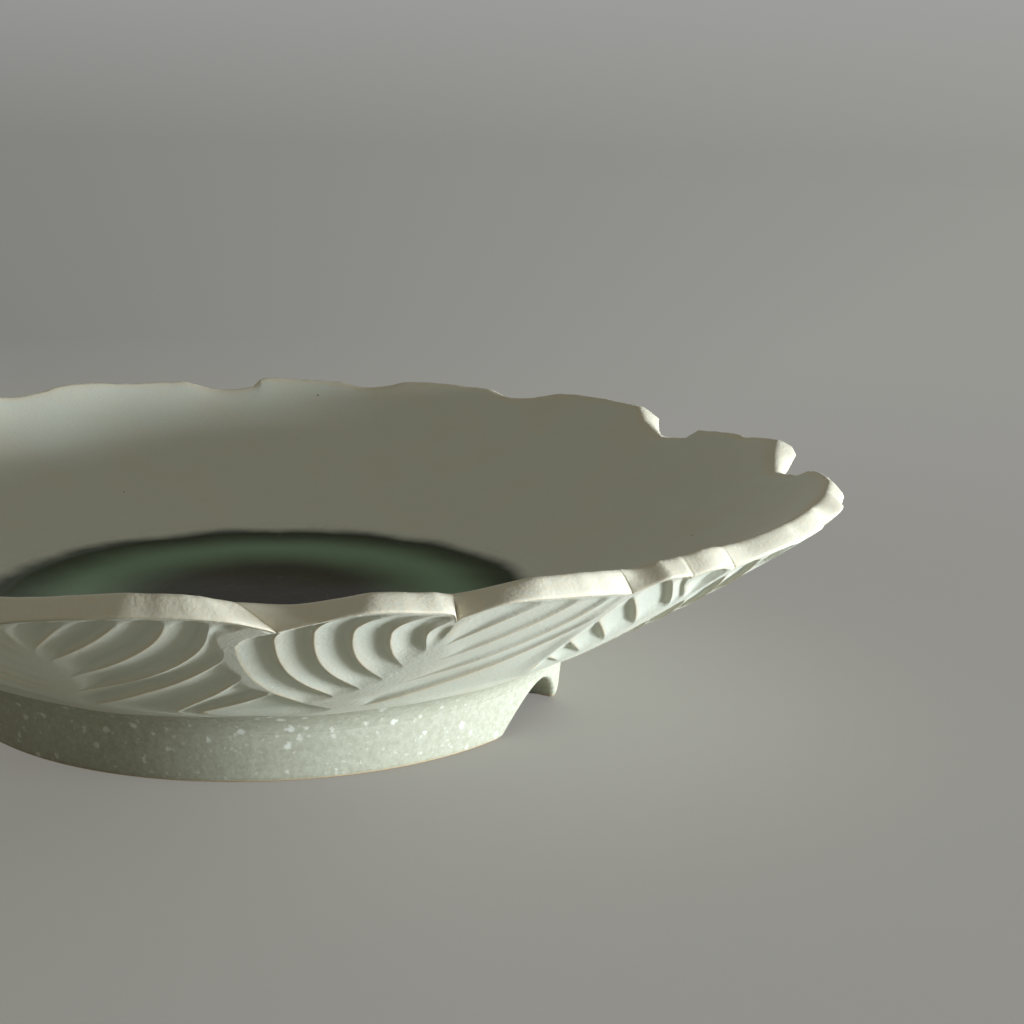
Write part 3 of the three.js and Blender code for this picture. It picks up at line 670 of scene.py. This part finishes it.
floor_shader = node(tree, "MixShader", {0: seen_directly(tree), 1: shader.outputs[0], 2: seen.outputs[0]})
tree.links.new(floor_shader.outputs[0], tree.nodes["Material Output"].inputs["Surface"])
floor_mesh.materials.append(card)
floor = bpy.data.objects.new("floor", floor_mesh)
bpy.context.scene.collection.objects.link(floor)

# Light: the dim warm room all round, a wide cool window that stands low on the right, and a faint warm
# panel behind on the left. Beyond the floor the camera sees greys with the same painted light falloff, darker
# on the left and a little paler higher up.
ROOM_LIGHT, ROOM_STRENGTH = "#FFFDEA", 0.195
HIGH_FALLOFF_GREYS, HIGH_RISE = ("#969694", "#A0A09E"), 0.08
world = bpy.data.worlds.new("dim_room")
world.use_nodes = True
tree = world.node_tree
room = tree.nodes["Background"]
room.inputs["Color"].default_value = linear(ROOM_LIGHT)
room.inputs["Strength"].default_value = ROOM_STRENGTH
way = node(tree, "TexCoord").outputs["Generated"]
upward = node(tree, "SeparateXYZ", {0: way})
high = node(tree, "MapRange", {"Value": upward.outputs["Z"], "From Min": 0.0, "From Max": HIGH_RISE})
# The greys beyond the floor carry the same painted light falloff, darker to the left.
far_falloff, high_falloff = (painted_falloff_across(tree, way, greys) for greys in (FAR_FALLOFF_GREYS, HIGH_FALLOFF_GREYS))
grey = node(tree, "MixRGB", {"Fac": high.outputs[0], "Color1": far_falloff, "Color2": high_falloff})
beyond = node(tree, "Background", {"Color": grey.outputs[0]})
sky = node(tree, "MixShader", {0: seen_directly(tree), 1: room.outputs[0], 2: beyond.outputs[0]})
tree.links.new(sky.outputs[0], tree.nodes["World Output"].inputs["Surface"])
bpy.context.scene.world = world

# Each panel's place, what it faces and its size in metres, its colour and its power in watts
PANELS = (
    ("window_panel", (1.27, 0.28, 0.068), (0.0, 0.0, 0.03), (0.55, 0.13), "#EFF9FF", 28.0),
    ("back_panel", (-0.42, 0.42, 0.05), (0.0, 0.0, 0.03), (0.4, 0.1), "#FFF6EA", 0.5),
)
for name, stand, aim, size, colour, power in PANELS:
    lamp = bpy.data.lights.new(name, "AREA")
    lamp.shape, lamp.size, lamp.size_y = "RECTANGLE", size[0], size[1]
    lamp.color, lamp.energy = linear(colour)[:3], power
    panel = bpy.data.objects.new(name, lamp)
    panel.location = stand
    panel.rotation_euler = (Vector(aim) - Vector(stand)).to_track_quat("-Z", "Y").to_euler()
    panel.visible_camera = False
    bpy.context.scene.collection.objects.link(panel)

# Camera: low and close in front of the plate, which runs out of the picture on the left. Its place is in
# metres, and the three directions are its own right, up and back.
CAMERA_PLACE = Vector((0.164903, -0.285620, 0.104870))
CAMERA_RIGHT = Vector((0.928629, 0.370531, 0.018882))
CAMERA_UP = Vector((-0.095008, 0.188298, 0.977506))
CAMERA_BACK = Vector((0.358641, -0.909533, 0.210062))
FOCAL_LENGTH, SENSOR_WIDTH, NEAREST = 59.766, 36.0, 0.01
lens = bpy.data.cameras.new("camera")
lens.lens, lens.sensor_width, lens.clip_start = FOCAL_LENGTH, SENSOR_WIDTH, NEAREST
camera = bpy.data.objects.new("camera", lens)
turned = Matrix((CAMERA_RIGHT, CAMERA_UP, CAMERA_BACK)).transposed().to_4x4()
camera.matrix_world = Matrix.Translation(CAMERA_PLACE) @ turned
bpy.context.scene.collection.objects.link(camera)
bpy.context.scene.camera = camera
bpy.context.scene.view_settings.view_transform = "Standard"
